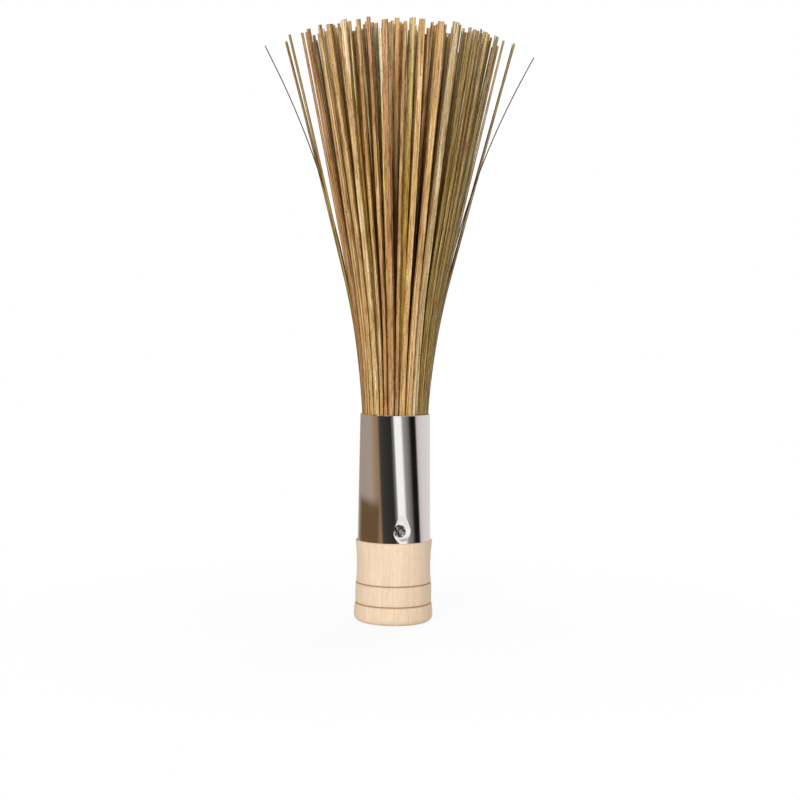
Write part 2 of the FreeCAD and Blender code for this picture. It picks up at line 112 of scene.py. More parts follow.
def mix(tree, share, first, second, blend="MIX"):
    """The first colour, with that share of the second blended into it."""
    inputs = {MIX_SHARE: share, MIX_FIRST: first, MIX_SECOND: second}
    return add(tree, "ShaderNodeMix", inputs, data_type="RGBA", blend_type=blend).outputs[MIX_COLOUR]


def ramp(tree, value, low, high, to_low=0.0, to_high=1.0):
    """The value stretched so that low becomes to_low and high becomes to_high."""
    inputs = {"Value": value, "From Min": low, "From Max": high, "To Min": to_low, "To Max": to_high}
    return add(tree, "ShaderNodeMapRange", inputs).outputs["Result"]


def reckon(tree, operation, *values, **settings):
    """The result of a sum on numbers, such as ADD or MULTIPLY."""
    return add(tree, "ShaderNodeMath", dict(enumerate(values)), operation=operation, **settings).outputs[0]


def stretch(tree, vector, factors):
    """The vector, multiplied along each axis by its own factor."""
    return add(tree, "ShaderNodeVectorMath", {0: vector, 1: factors}, operation="MULTIPLY").outputs[0]


def length_of(tree, vector):
    """The length of the vector."""
    return add(tree, "ShaderNodeVectorMath", {0: vector}, operation="LENGTH").outputs["Value"]


def mottle(tree, vector, per_metre, detail, roughness=0.5):
    """Soft noise between 0 and 1, with about that many lumps to the metre."""
    inputs = {"Vector": vector, "Scale": per_metre, "Detail": detail, "Roughness": roughness}
    return add(tree, "ShaderNodeTexNoise", inputs).outputs["Fac"]


def object_place(tree):
    """Where a point lies on its object."""
    return add(tree, "ShaderNodeTexCoord").outputs["Object"]


def stored(tree, name, output):
    """A value that is stored on the mesh as an attribute."""
    return add(tree, "ShaderNodeAttribute", attribute_name=name).outputs[output]


def raised(tree, height, strength, distance):
    """A normal that leans as if the surface rose and fell with the height."""
    inputs = {"Height": height, "Strength": strength, "Distance": distance}
    return add(tree, "ShaderNodeBump", inputs).outputs["Normal"]


# %% [markdown]
# Nodes live in trees. A material has one, which ends in a shader. What two materials share is a node
# group, a small tree of its own with named sockets, which is built once and placed in both.

# %% Helpers for materials and node groups


def new_material(name, **plain):
    """A material, its node tree and its Principled shader with the plain values given."""
    material = bpy.data.materials.new(name)
    material.use_nodes = True
    tree = material.node_tree
    shader = tree.nodes["Principled BSDF"]
    for socket, value in plain.items():
        shader.inputs[socket.replace("_", " ")].default_value = value
    return material, tree, shader


def new_group(name, takes, gives):
    """A node group that takes a coordinate and numbers and gives numbers, with its inner sockets."""
    group = bpy.data.node_groups.new(name, "ShaderNodeTree")
    group.interface.new_socket("Coordinate", in_out="INPUT", socket_type="NodeSocketVector")
    for socket in takes:
        group.interface.new_socket(socket, in_out="INPUT", socket_type="NodeSocketFloat")
    for socket in gives:
        group.interface.new_socket(socket, in_out="OUTPUT", socket_type="NodeSocketFloat")
    return group, add(group, "NodeGroupInput").outputs, add(group, "NodeGroupOutput").inputs


# %% [markdown]
# Bamboo and beech both show long fibres: fine lines that run with the grain and are many times
# longer than wide. Noise squeezed along one axis gives them. Both materials need it, so it is a node
# group: it takes a coordinate whose Z runs with the grain, and puts out broad streaks, fine fibres,
# short dark pores, and hair lines, which run where the streaks change from dark to light. Noise keeps
# close to its middle value, so the part of its range that it uses is stretched to run from 0 to 1.

# %% Long grain, shared by bamboo and wood
NOISE_RANGE = (0.3, 0.7)
LINE_RANGE = (0.042, 0.014)
PORE_RANGE = (0.58, 0.7)
PORE_SHORTNESS = 12.0


def make_long_grain():
    """The node group of the grain."""
    takes = ["Streaks Per Metre", "Fibres Per Metre", "Pores Per Metre", "Length"]
    group, given, gives = new_group("long_grain", takes, ["Streaks", "Fibres", "Lines", "Pores"])
    shrink = reckon(group, "DIVIDE", 1.0, given["Length"])
    along = add(group, "ShaderNodeCombineXYZ", {"X": 1.0, "Y": 1.0, "Z": shrink}).outputs[0]
    squeezed = stretch(group, given["Coordinate"], along)
    streaks = mottle(group, squeezed, given["Streaks Per Metre"], detail=3.0, roughness=0.6)
    fibres = mottle(group, squeezed, given["Fibres Per Metre"], detail=2.0)
    shorter = stretch(group, squeezed, (1.0, 1.0, PORE_SHORTNESS))
    specks = mottle(group, shorter, given["Pores Per Metre"], detail=1.0)
    from_middle = reckon(group, "ABSOLUTE", reckon(group, "SUBTRACT", streaks, 0.5))
    group.links.new(ramp(group, streaks, *NOISE_RANGE), gives["Streaks"])
    group.links.new(ramp(group, fibres, *NOISE_RANGE), gives["Fibres"])
    group.links.new(ramp(group, from_middle, *LINE_RANGE), gives["Lines"])
    group.links.new(ramp(group, specks, *PORE_RANGE), gives["Pores"])
    return group


LONG_GRAIN = make_long_grain()


def long_grain(tree, coordinate, streaks, fibres, pores, length):
    """The shared grain, placed in a material with its own values."""
    inputs = {
        "Coordinate": coordinate, "Streaks Per Metre": streaks, "Fibres Per Metre": fibres,
        "Pores Per Metre": pores, "Length": length,
    }
    return add(tree, "ShaderNodeGroup", inputs, node_tree=LONG_GRAIN).outputs


# %% [markdown]
# Split bamboo is matt and dry. Each splint has its own shade, from pale straw to dark smoke, so the
# shade is stored on the mesh as a colour attribute and one material serves them all. A second attribute
# holds each point's place on the flat blank before it was bent, so that the fibres follow the bend.
# A third tells how near a point is to an arris, because the edges are painted darker than the faces,
# a painted shade for the dark gaps between the strips: its X and Y run from -1 to 1 across the width
# and the thickness, and its Z says where the painted shade starts. What darkens multiplies the
# shade, so that a dark splint gets no pale lines.

# %% Material of the bamboo
PALER = (1.06, 1.1, 1.25, 1.0)
FIBRE_SHARE = 0.8
LINE_SHARE = 0.85
PORE_SHARE = 0.75
EDGE_SHADE_SHARE = 0.95
EDGE_SHADE_RANGE = (0.3, 0.9)
BAMBOO_ROUGHNESS = (0.7, 0.52)


def make_bamboo():
    """Split bamboo in the shades that its meshes carry."""
    material, tree, shader = new_material("split_bamboo", Specular_IOR_Level=0.25)
    shade = stored(tree, "splint_colour", "Color")
    blank = stored(tree, "on_blank", "Vector")
    grain = long_grain(tree, blank, streaks=1300.0, fibres=3600.0, pores=2800.0, length=50.0)
    darker = mix(tree, 1.0, shade, linear("D8BC90"), "MULTIPLY")
    paler = mix(tree, 1.0, shade, PALER, "MULTIPLY")
    colour = mix(tree, grain["Streaks"], darker, paler)
    fine = mix(tree, grain["Fibres"], linear("C6A46C"), linear("FFFFFF"))
    colour = mix(tree, FIBRE_SHARE, colour, fine, "MULTIPLY")
    lines = reckon(tree, "MULTIPLY", grain["Lines"], LINE_SHARE)
    colour = mix(tree, lines, colour, linear("956F38"), "MULTIPLY")
    pores = reckon(tree, "MULTIPLY", grain["Pores"], PORE_SHARE)
    colour = mix(tree, pores, colour, linear("8A6030"), "MULTIPLY")
    # Painted shade along the arrises, standing for the dark gaps between the strips.
    on_strip = add(tree, "ShaderNodeSeparateXYZ", {"Vector": stored(tree, "on_strip", "Vector")}).outputs
    aside = reckon(tree, "ABSOLUTE", on_strip["X"])
    deep = reckon(tree, "ABSOLUTE", on_strip["Y"])
    rim = ramp(tree, aside, on_strip["Z"], 1.0, 0.0, EDGE_SHADE_SHARE)
    edge = reckon(tree, "MULTIPLY", rim, ramp(tree, deep, *EDGE_SHADE_RANGE))
    colour = mix(tree, edge, colour, linear("744818"), "MULTIPLY")
    tree.links.new(colour, shader.inputs["Base Color"])
    rough = ramp(tree, grain["Fibres"], 0.0, 1.0, *BAMBOO_ROUGHNESS)
    tree.links.new(rough, shader.inputs["Roughness"])
    tree.links.new(raised(tree, grain["Fibres"], 0.5, 0.05 * MM), shader.inputs["Normal"])
    return material


BAMBOO = make_bamboo()
print("bamboo nodes:", len(BAMBOO.node_tree.nodes))

# %% [markdown]
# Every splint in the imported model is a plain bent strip. A real one was split by hand, so its edges
# wander, its arrises are worn, it is slightly twisted and its tip is never quite square. The strip's
# corners give its width, thickness and bend, and with those a straight blank can be made, roughened
# while it is still straight, and then bent to the same curve: upright at first, then round an arc,
# and straight on from there. How far the tip lies aside and above gives two equations, and they are
# solved for the radius of the arc and the length of the straight end.

# %% Read a splint's size and bend from its solid


class Splint:
    """Size, place and bend of one splint, read from the corners of its solid."""

    def __init__(self, corners):
        ordered = sorted(corners, key=lambda corner: corner.z)
        butt, bend_start, tip = ordered[:4], ordered[4].z, ordered[-4:]
        self.butt = sum(butt, Vector()) / 4
        self.tip = sum(tip, Vector()) / 4
        short, long = self.sides(butt)
        self.thickness, self.width = short.length, long.length
        self.out = Vector((self.tip.x - self.butt.x, self.tip.y - self.butt.y, 0)).normalized()
        self.across = Vector((-self.out.y, self.out.x, 0))
        edge = self.sides(tip)[0]
        self.lean = math.atan2(abs(edge.z), math.hypot(edge.x, edge.y))
        self.upright = bend_start - self.butt.z
        travel = math.hypot(self.tip.x - self.butt.x, self.tip.y - self.butt.y)
        rise = self.tip.z - bend_start
        sine, cosine = math.sin(self.lean), math.cos(self.lean)
        self.bend = (rise * sine - travel * cosine) / (1 - cosine)
        straight = (travel - self.bend * (1 - cosine)) / sine
        self.length = self.upright + self.bend * self.lean + straight

    @staticmethod
    def sides(corners):
        """The short and the long side of a rectangle, as vectors from its first corner."""
        first, *others = corners
        others.sort(key=lambda corner: (corner - first).length)
        return others[0] - first, others[1] - first

    def place(self, across, depth, along):
        """Where a point of the straight blank comes to lie on the bent splint."""
        up = Vector((0, 0, 1))
        if along <= self.upright:
            return self.butt + self.across * across + self.out * depth + up * along
        angle = min((along - self.upright) / self.bend, self.lean)
        onward = along - self.upright - self.bend * angle
        centre = self.butt + up * (self.upright + self.bend * math.sin(angle))
        centre += self.out * self.bend * (1 - math.cos(angle))
        tangent = self.out * math.sin(angle) + up * math.cos(angle)
        normal = self.out * math.cos(angle) - up * math.sin(angle)
        return centre + tangent * onward + self.across * across + normal * depth


# %% [markdown]
# The node of an inner row holds many splints, all in one mesh of loose triangles. Once the corners
# that coincide are merged, the triangles of a solid hang together, and a walk along the edges from
# any corner gathers the corners of that solid and of no other.

# %% Tell the solids of a node apart
MERGE = 0.001 * MM


def separate_solids(mesh):
    """The corners of each solid of a mesh of loose triangles."""
    merged = bmesh.new()
    merged.from_mesh(mesh)
    bmesh.ops.remove_doubles(merged, verts=merged.verts, dist=MERGE)
    seen, solids = set(), []
    for start in merged.verts:
        if start in seen:
            continue
        seen.add(start)
        group, queue = [], [start]
        while queue:
            vert = queue.pop()
            group.append(vert.co.copy())
            for edge in vert.link_edges:
                other = edge.other_vert(vert)
                if other not in seen:
                    seen.add(other)
                    queue.append(other)
        solids.append(group)
    merged.free()
    return solids


# %% [markdown]
# Most splints have split further in use, into strips that part towards the tip and are worn to
# uneven lengths, and that is where the brush gets its fine, ragged look. A splint is shared out among
# its strips by chance. One of them keeps the splint's length and place, so that the brush keeps its
# size, and the others are a little shorter and sink a little towards the middle of the sheaf.

# %% Split a splint into strips
STRIP_WIDTH = 1.3 * MM
STRIP_GAP = 0.18 * MM
STRIP_SINK = math.radians(0.5)
WORN_SHORT = 3.5 * MM
COUNT_SPREAD = (0.6, 1.15)
SHARE_SPREAD = (0.55, 1.45)

Strip = namedtuple("Strip", "middle width worn_short sink")


def split_splint(splint, fineness, draw):
    """The strips that a splint has split into, from side to side. One keeps its length and place."""
    count = max(1, round(splint.width / STRIP_WIDTH * fineness * draw.uniform(*COUNT_SPREAD)))
    shares = [draw.uniform(*SHARE_SPREAD) for _ in range(count)]
    longest = draw.randrange(count)
    side = -splint.width / 2
    for number, share in enumerate(shares):
        width = splint.width * share / sum(shares)
        loss = float(number != longest)
        yield Strip(
            side + width / 2, width - (STRIP_GAP if count > 1 else 0),
            loss * draw.uniform(0, WORN_SHORT), loss * draw.uniform(0, STRIP_SINK),
        )
        side += width


# %% [markdown]
# A brush in use is not one colour from end to end. The splints keep their clean colour where they
# leave the ferrule, take on their painted shade along the middle, which stands for the shade deep in
# the sheaf, and are scrubbed pale at their tips. Heights run from 0, where a splint starts to bend,
# to 1, at its tip.

# %% Paint shade on a splint and scrub its tip
SHADE_FROM, SHADE_RISE = 0.14, 0.18
SHADE_UNTIL, SHADE_FALL = 0.92, 0.35
SCRUB_FROM = 0.6
SCRUBBED = (1.1, 1.15, 1.35, 1.0)


def shade_and_scrub(clean, in_shade, height):
    """A splint's colour at a height: clean at the neck, in painted shade midway, scrubbed at the tip."""
    # The painted shade rises above the neck, holds along the middle and fades before the tip.
    rising = min(max(height - SHADE_FROM, 0) / SHADE_RISE, 1)
    falling = min(max(SHADE_UNTIL - height, 0) / SHADE_FALL, 1)
    painted_shade = rising * falling
    scrub = max(height - SCRUB_FROM, 0) / (1 - SCRUB_FROM)
    return tuple(
        (a + (b - a) * painted_shade) * (1 + (c - 1) * scrub) for a, b, c in zip(clean, in_shade, SCRUBBED)
    )


# %% [markdown]
# The blank is a cube stretched to the strip's size. Its long edges are bevelled, because split
# bamboo has no sharp arris after its first wash, and it is cut into short lengths so that it can
# bend.

# %% Cut a straight blank
BLANK_CUTS = 40
ARRIS = 0.1 * MM


def long_edges(piece):
    """The edges of a straight blank that run its whole length."""
    return [
        edge for edge in piece.edges
        if abs(edge.verts[0].co.z - edge.verts[1].co.z) > edge.calc_length() * 0.99
    ]


def cut_blank(length, width, thickness):
    """A bmesh of a straight blank with worn arrises, cut into short lengths."""
    piece = bmesh.new()
    size = Matrix.Diagonal((width, thickness, length, 1))
    bmesh.ops.create_cube(piece, size=1, matrix=Matrix.Translation((0, 0, length / 2)) @ size)
    bmesh.ops.bevel(
        piece, geom=long_edges(piece), offset=min(ARRIS, thickness / 4, width / 5), segments=1,
        profile=0.5, affect="EDGES", material=-1,
    )
    bmesh.ops.subdivide_edges(piece, edges=long_edges(piece), cuts=BLANK_CUTS, use_grid_fill=True)
    return piece


# %% [markdown]
# Wear comes before the bend, while sideways and lengthways are still plain axes. Twist and parting
# grow with the distance above the place where the bend starts, the bow is largest midway, and the
# two edges wander along the whole length, each on its own. The attributes that the material reads
# are stored before a point moves. The narrow sides show other fibres than the faces, so the place on
# the blank shifts with the depth, and every strip reads the noise somewhere else.

# %% Wear and bend the blank
EDGE_WANDER = 0.05
EDGE_WANDER_LENGTH = 45 * MM
EDGES_APART = 3
EDGE_SHADE_WIDTH = 0.2 * MM
EDGE_SHADE_MOST = 0.3
DEPTH_SHIFT = 1.7
NOISE_REACH = 100
TWIST = math.radians(14)
BOW = 1.6 * MM
DEPTH_BOW_SHARE = 0.6
TIP_SLANT = 0.12
TIP_SHARE = 0.999
STRIP_PARTING = math.radians(0.75)
STRIP_STRAY = math.radians(0.4)


def shape_strip(splint, strip, clean, in_shade, draw):
    """A bmesh of one strip of a splint: the blank, coloured, worn and bent."""
    length, width = splint.length - strip.worn_short, strip.width
    piece = cut_blank(length, width, splint.thickness)
    on_blank = piece.verts.layers.float_vector.new("on_blank")
    on_strip = piece.verts.layers.float_vector.new("on_strip")
    shade = piece.verts.layers.float_color.new("splint_colour")
    key = draw.uniform(0, NOISE_REACH)
    twist, side_bow = draw.uniform(-1, 1), draw.uniform(-1, 1)
    bow = draw.uniform(0, 1)
    slant = draw.uniform(-TIP_SLANT, TIP_SLANT)
    parting = STRIP_PARTING * 2 * strip.middle / splint.width + draw.uniform(-STRIP_STRAY, STRIP_STRAY)
    free = length - splint.upright
    # Where the painted shade along the arrises starts, as a share of the half width.
    edge_shade_from = 1 - min(2 * EDGE_SHADE_WIDTH / width, EDGE_SHADE_MOST)
    for vert in piece.verts:
        across, depth, along = vert.co
        above = max(0.0, along - splint.upright)
        height = above / free
        vert[on_blank] = (across + DEPTH_SHIFT * depth + key, 0, along + key)
        vert[on_strip] = (2 * across / width, 2 * depth / splint.thickness, edge_shade_from)
        vert[shade] = shade_and_scrub(clean, in_shade, height)
        if along > length * TIP_SHARE:
            along += slant * across - abs(slant) * width / 2
        side = math.copysign(EDGES_APART, across)
        across *= 1 + EDGE_WANDER * noise.noise(Vector((key, side, along / EDGE_WANDER_LENGTH)))
        turn = twist * TWIST * height
        across, depth = (
            across * math.cos(turn) - depth * math.sin(turn),
            across * math.sin(turn) + depth * math.cos(turn),
        )
        swing = math.sin(math.pi * height) * height
        across += strip.middle + side_bow * BOW * swing + parting * above
        depth -= bow * BOW * swing * DEPTH_BOW_SHARE + strip.sink * above * height
        vert.co = splint.place(across, depth, along)
    return piece


# %% [markdown]
# The shades come from a few chips. The outer splints at the front are picked one by one from left to
# right, as the eye meets them there, and all the others are drawn at random. The sheaf is greener
# towards its right side. The outer row gets no painted shade. Inside it, the splints are painted
# browner and darker along the middle, a painted shade for the depth of the sheaf, darker towards the
# right and darkest in those that show through the two partings in the front, which are painted dark
# between clean necks and scrubbed tips.

# %% Shades of the splints
CHIPS = {
    "straw": linear("E6D5A2"),
    "honey": linear("DEC48A"),
    "tan": linear("D1B37A"),
    "blush": linear("CDA878"),
    "sage": linear("CFC69B"),
    "olive": linear("C6B87A"),
    "moss": linear("B4A664"),
    "rust": linear("B48E50"),
    # A dark brown painted shade for the splints seen deep in the partings.
    "parting_shade": linear("4A3010"),
    "smoke": linear("565040"),
}
FRONT_SHADES = [
    "moss", "smoke", "moss", "tan", "tan", "blush", "honey", "honey", "straw", "honey", "blush", "blush",
    "tan", "honey", "honey", "sage", "moss", "olive", "olive", "moss", "straw", "sage", "smoke",
    "sage", "olive",
]
COMMON = ["straw", "honey", "honey", "honey", "tan", "tan", "sage", "olive", "blush", "rust"]
INNER = ["straw", "straw", "honey", "honey", "tan", "sage", "olive", "rust"]
GREENER = ["straw", "sage", "sage", "olive", "olive", "moss"]
GREENER_FROM = 20 * MM
PARTINGS = ((-5 * MM, 1 * MM), (14 * MM, 19 * MM))
# Tints of the painted shade inside the outer row, and a darker one towards the right.
SHADE_TINT = (1.0, 0.88, 0.46, 1.0)
DEEP_SHADE_TINT = (0.6, 0.5, 0.26, 1.0)

# %% [markdown]
# A splint gets two colours, clean and in painted shade. The strips that it has split into share them,
# each a little lighter or darker than the next, but none brighter than pale wood can be.

# %% Pick a splint's shades
PALEST = 0.92


def front_number(name):
    """The number of an outer splint that stands at the front, or 0."""
    number = int(name[-2:]) if name.startswith("outer") else 0
    return number if number <= len(FRONT_SHADES) else 0


def pick_shades(name, splint, draw):
    """The clean colour and the colour in painted shade of the next splint of a node."""
    number = front_number(name)
    if name.startswith("outer"):
        clean = CHIPS[FRONT_SHADES[number - 1] if number else draw.choice(COMMON)]
        return clean, clean
    at_right = splint.tip.x > GREENER_FROM
    clean = CHIPS[draw.choice(GREENER if at_right else INNER)]
    # Splints seen through a parting get the darkest painted shade.
    if splint.tip.y < 0 and any(low < splint.tip.x < high for low, high in PARTINGS):
        return CHIPS["tan"], CHIPS["parting_shade"]
    painted_shade = DEEP_SHADE_TINT if at_right else SHADE_TINT
    return clean, tuple(channel * share for channel, share in zip(clean, painted_shade))


def lighten(colours, usual, spread, draw):
    """The colours times the usual share, give or take the same part of the spread."""
    light = usual + draw.uniform(-spread, spread)
    return [tuple(min(channel * light, PALEST) for channel in colour[:3]) + (1.0,) for colour in colours]


# %% [markdown]
# Not every splint is split alike. Those at the front are broad and hold together, apart from some at
# the right, which have frayed into fine strips of very uneven shades. The inner rows lie in the
# shade of the outer one, so their colour is painted lighter, a painted light that makes up for it.

# %% Kinds of splints
Kind = namedtuple("Kind", "fineness light spread")
USUAL = Kind(fineness=0.9, light=1.08, spread=0.14)
BROAD = Kind(fineness=0.5, light=1.08, spread=0.14)
FRAYED = Kind(fineness=1.9, light=1.25, spread=0.45)
# The inner rows are painted lighter to make up for the shade of the outer row.
WITHIN = Kind(fineness=0.9, light=1.38, spread=0.14)
FRAYED_NUMBERS = (17, 18, 19, 20, 21, 22, 24, 25)


def kind_of(name):
    """How finely the splints of a node have split, and how light their strips are."""
    number = front_number(name)
    if number in FRAYED_NUMBERS:
        return FRAYED
    if number:
        return BROAD
    return WITHIN if name.startswith("splint_row") else USUAL


# %% [markdown]
# A bmesh is a workshop and a mesh is the finished part. Each piece rides on a body and takes its
# finish, and the node that it stands for is hidden. Shading is smooth, but an edge sharper than a
# given angle stays an edge.

# %% Turn a shape into a piece


def new_object(name, shape, material):
    """Turns a bmesh into an object of the scene."""
    mesh = bpy.data.meshes.new(name)
    shape.to_mesh(mesh)
    shape.free()
    mesh.materials.append(material)
    made = bpy.data.objects.new(name, mesh)
    bpy.context.scene.collection.objects.link(made)
    return made


def finish_piece(name, shape, material, stands_for):
    """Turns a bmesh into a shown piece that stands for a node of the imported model."""
    piece = new_object(name, shape, material)
    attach(piece, "root")
    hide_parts(stands_for)
    return piece


def smooth(piece, degrees):
    """Shades a piece smooth, apart from its edges sharper than the angle."""
    for face in piece.data.polygons:
        face.use_smooth = True
    piece.data.set_sharp_from_angle(angle=math.radians(degrees))


# %% [markdown]
# All the strips of a node are gathered in one mesh. The chance that shapes them is seeded with the
# node's name, so that every run gives the same brush.

# %% Make every splint


def gather(whole, shape):
    """Moves a bmesh, with its layers, into the whole."""
    carrier = bpy.data.meshes.new("carrier")
    shape.to_mesh(carrier)
    shape.free()
    whole.from_mesh(carrier)
    bpy.data.meshes.remove(carrier)


def make_splints(name):
    """Makes the piece for a node of splints, and counts its splints and its strips."""
    draw = random.Random(name)
    kind = kind_of(name)
    whole = bmesh.new()
    whole.verts.layers.float_vector.new("on_blank")
    whole.verts.layers.float_vector.new("on_strip")
    whole.verts.layers.float_color.new("splint_colour")
    solids = separate_solids(nodes[name].data)
    strip_count = 0
    for corners in solids:
        splint = Splint(corners)
        shades = pick_shades(name, splint, draw)
        strips = list(split_splint(splint, kind.fineness, draw))
        for strip in strips:
            clean, in_shade = lighten(shades, kind.light, kind.spread, draw)
            gather(whole, shape_strip(splint, strip, clean, in_shade, draw))
        strip_count += len(strips)
    smooth(finish_piece(f"bamboo_{name}", whole, BAMBOO, name), 30)
    return len(solids), strip_count


counts = [make_splints(name) for name in sorted(nodes) if "splint" in name]
splint_count, strip_count = map(sum, zip(*counts))
print("splints:", splint_count, "split into strips:", strip_count)

# %% [markdown]
# The base and the ferrule were both made round an axis, so both are spun. Their profiles come from
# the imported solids: of a turned solid's points, those within 60 degrees of one side are enough, and
# each has only a height and a distance from the axis. The side is chosen away from the screw and its
# hole, which aren't round the axis.

# %% Read a turned profile
ferrule_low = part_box("ferrule")[0]
screw_low, screw_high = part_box("screw")
screw_place = (screw_low + screw_high) / 2
SCREW_SIDE = Vector((screw_place.x, screw_place.y, 0)).normalized()
BESIDE_SCREW = Vector((-SCREW_SIDE.y, SCREW_SIDE.x, 0))
SIDE_REACH = math.cos(math.radians(60))
DECIMALS = 6


def turned_profile(name, side):
    """Radius and height of each ring of a turned node, seen on that side of it, from the foot up."""
    rings = set()
    for vert in nodes[name].data.vertices:
        radius = math.hypot(vert.co.x, vert.co.y)
        if vert.co.x * side.x + vert.co.y * side.y > SIDE_REACH * radius:
            rings.add((round(radius, DECIMALS), round(vert.co.z, DECIMALS)))
    return sorted(rings, key=lambda ring: (ring[1], -ring[0]))


# %% [markdown]
# Spinning the profile gives the whole surface at once, with the rings and columns that a bevel and
# the pressed dish need later. A spin can turn a shape inside out, so its normals are worked out anew
# once its doubles are merged. The lathe left no ring quite sharp, so the base's are bevelled.

# %% Spin a profile and round its rings
LEVEL = 1e-7


def spin_profile(points, steps, closed):
    """A bmesh of the outline spun a full turn about the Z axis."""
    shape = bmesh.new()
    verts = [shape.verts.new((radius, 0, height)) for radius, height in points]
    pairs = list(zip(verts, verts[1:])) + ([(verts[-1], verts[0])] if closed else [])
    edges = [shape.edges.new(pair) for pair in pairs]
    bmesh.ops.spin(
        shape, geom=verts + edges, cent=(0, 0, 0), axis=(0, 0, 1), angle=math.tau, steps=steps,
        use_merge=True,
    )
    bmesh.ops.remove_doubles(shape, verts=shape.verts, dist=LEVEL)
    bmesh.ops.recalc_face_normals(shape, faces=shape.faces)
    return shape


def round_rings(shape, offset, segments, sharper_than, lowest, highest):
    """Bevels the rings between two heights where the outline turns by more than the angle."""
    sharp = [
        edge for edge in shape.edges
        if len(edge.link_faces) == 2
        and abs(edge.verts[0].co.z - edge.verts[1].co.z) < LEVEL
        and edge.calc_face_angle() > math.radians(sharper_than)
        and lowest < edge.verts[0].co.z < highest
    ]
    bmesh.ops.bevel(
        shape, geom=sharp, offset=offset, segments=segments, profile=0.5, affect="EDGES", material=-1,
    )


# %% [markdown]
# The base is pale beech-like wood, turned, sanded and left bare. It was cut with the grain along the
# brush, so its side shows long fine lines and its foot shows growth rings. The rings are distance
# from a pith that lay well outside this billet. They run up the wood with hardly a change, which is
# why the height counts so little in that distance. The wood is darker brown along its two V grooves.

# %% Material of the base
PITH = (0.062, 0.045, 0.0)
RING_SPACING = 2.6 * MM
RING_WOBBLE = 4 * MM
RING_HEIGHT_SHARE = 0.06
WOBBLES_PER_METRE = 28.0
RING_SHARE = 0.14
WOOD_FIBRE_SHARE = 0.42
FLECK_SHARE = 0.3
GROOVE_DARKENING = (0.4 * MM, 0.12 * MM)


def make_wood(groove_heights):
    """Sanded wood, darker brown along its grooves."""
    material, tree, shader = new_material("sanded_wood", Roughness=0.6, Specular_IOR_Level=0.3)
    place = object_place(tree)
    grain = long_grain(tree, place, streaks=420.0, fibres=2600.0, pores=2600.0, length=26.0)
    to_pith = {"Vector": place, "Location": [-x for x in PITH]}
    from_pith = add(tree, "ShaderNodeMapping", to_pith).outputs[0]
    distance = length_of(tree, stretch(tree, from_pith, (1.0, 1.0, RING_HEIGHT_SHARE)))
    wobble = mottle(tree, place, WOBBLES_PER_METRE, detail=2.0)
    bent = reckon(tree, "MULTIPLY_ADD", wobble, RING_WOBBLE, distance)
    wave = reckon(tree, "SINE", reckon(tree, "MULTIPLY", bent, math.tau / RING_SPACING))
    colour = mix(tree, grain["Streaks"], linear("D9C1A6"), linear("E0CDB6"))
    rings = reckon(tree, "MULTIPLY", ramp(tree, wave, 0.2, 1.0), RING_SHARE)
    colour = mix(tree, rings, colour, linear("D5B896"))
    fine = mix(tree, grain["Fibres"], linear("E6D2BC"), linear("FFFFFF"))
    colour = mix(tree, WOOD_FIBRE_SHARE, colour, fine, "MULTIPLY")
    flecks = reckon(tree, "MULTIPLY", grain["Pores"], FLECK_SHARE)
    colour = mix(tree, flecks, colour, linear("B48C64"))
    height = add(tree, "ShaderNodeSeparateXYZ", {"Vector": place}).outputs["Z"]
    # The wood is darker brown along each groove.
    for groove in groove_heights:
        near = reckon(tree, "ABSOLUTE", reckon(tree, "SUBTRACT", height, groove))
        colour = mix(tree, ramp(tree, near, *GROOVE_DARKENING), colour, linear("AD8458"))
    tree.links.new(colour, shader.inputs["Base Color"])
    tree.links.new(raised(tree, grain["Fibres"], 0.25, 0.04 * MM), shader.inputs["Normal"])
    return material


# %% [markdown]
# The profile of the base holds all that a lathe cut, so its grooves can be found in it: they are
# where the radius is smaller than just below and just above. The spigot that reaches up into the
# ferrule is made a little slimmer than it was packed, because the ferrule's dish sinks towards it.

# %% Turn the base
GROOVE_LEAST = 0.3 * MM
SPIGOT_RELIEF = 0.6 * MM
BASE_STEPS = 160
BASE_ROUNDING = 0.12 * MM
HAIR = 0.01 * MM

profile = turned_profile("base", -SCREW_SIDE)
valleys = [
    height for (before, _), (radius, height), (after, _) in zip(profile, profile[1:], profile[2:])
    if radius < before - GROOVE_LEAST and radius < after - GROOVE_LEAST
]
print("grooves at", [round(height / MM, 2) for height in valleys], "mm")
profile = [
    (radius - SPIGOT_RELIEF * (height > ferrule_low.z + HAIR), height) for radius, height in profile
]
foot_centre, top_centre = (0, profile[0][1]), (0, profile[-1][1])
turned_base = spin_profile([foot_centre] + profile + [top_centre], BASE_STEPS, closed=False)
round_rings(
    turned_base, BASE_ROUNDING, segments=2, sharper_than=25, lowest=0, highest=ferrule_low.z - HAIR
)
smooth(finish_piece("turned_base", turned_base, make_wood(valleys), "base"), 40)

# %% [markdown]
# Polished steel is never evenly bright: fingers and cloths leave soft smudges, which show as a
# change of gloss. The ferrule and the screw both have them, so they are a node group, and each steel
# turns the smudge into a roughness of its own.

# %% Material of the steel
SMUDGE_RANGE = (0.35, 0.7)
SMUDGE_DULLING = 1.9


def make_smudges():
    """The node group of the smudges."""
    group, given, gives = new_group("smudges", ["Smudges Per Metre"], ["Smudge"])
    soft = mottle(group, given["Coordinate"], given["Smudges Per Metre"], detail=3.0)
    group.links.new(ramp(group, soft, *SMUDGE_RANGE), gives["Smudge"])
    return group


SMUDGES = make_smudges()


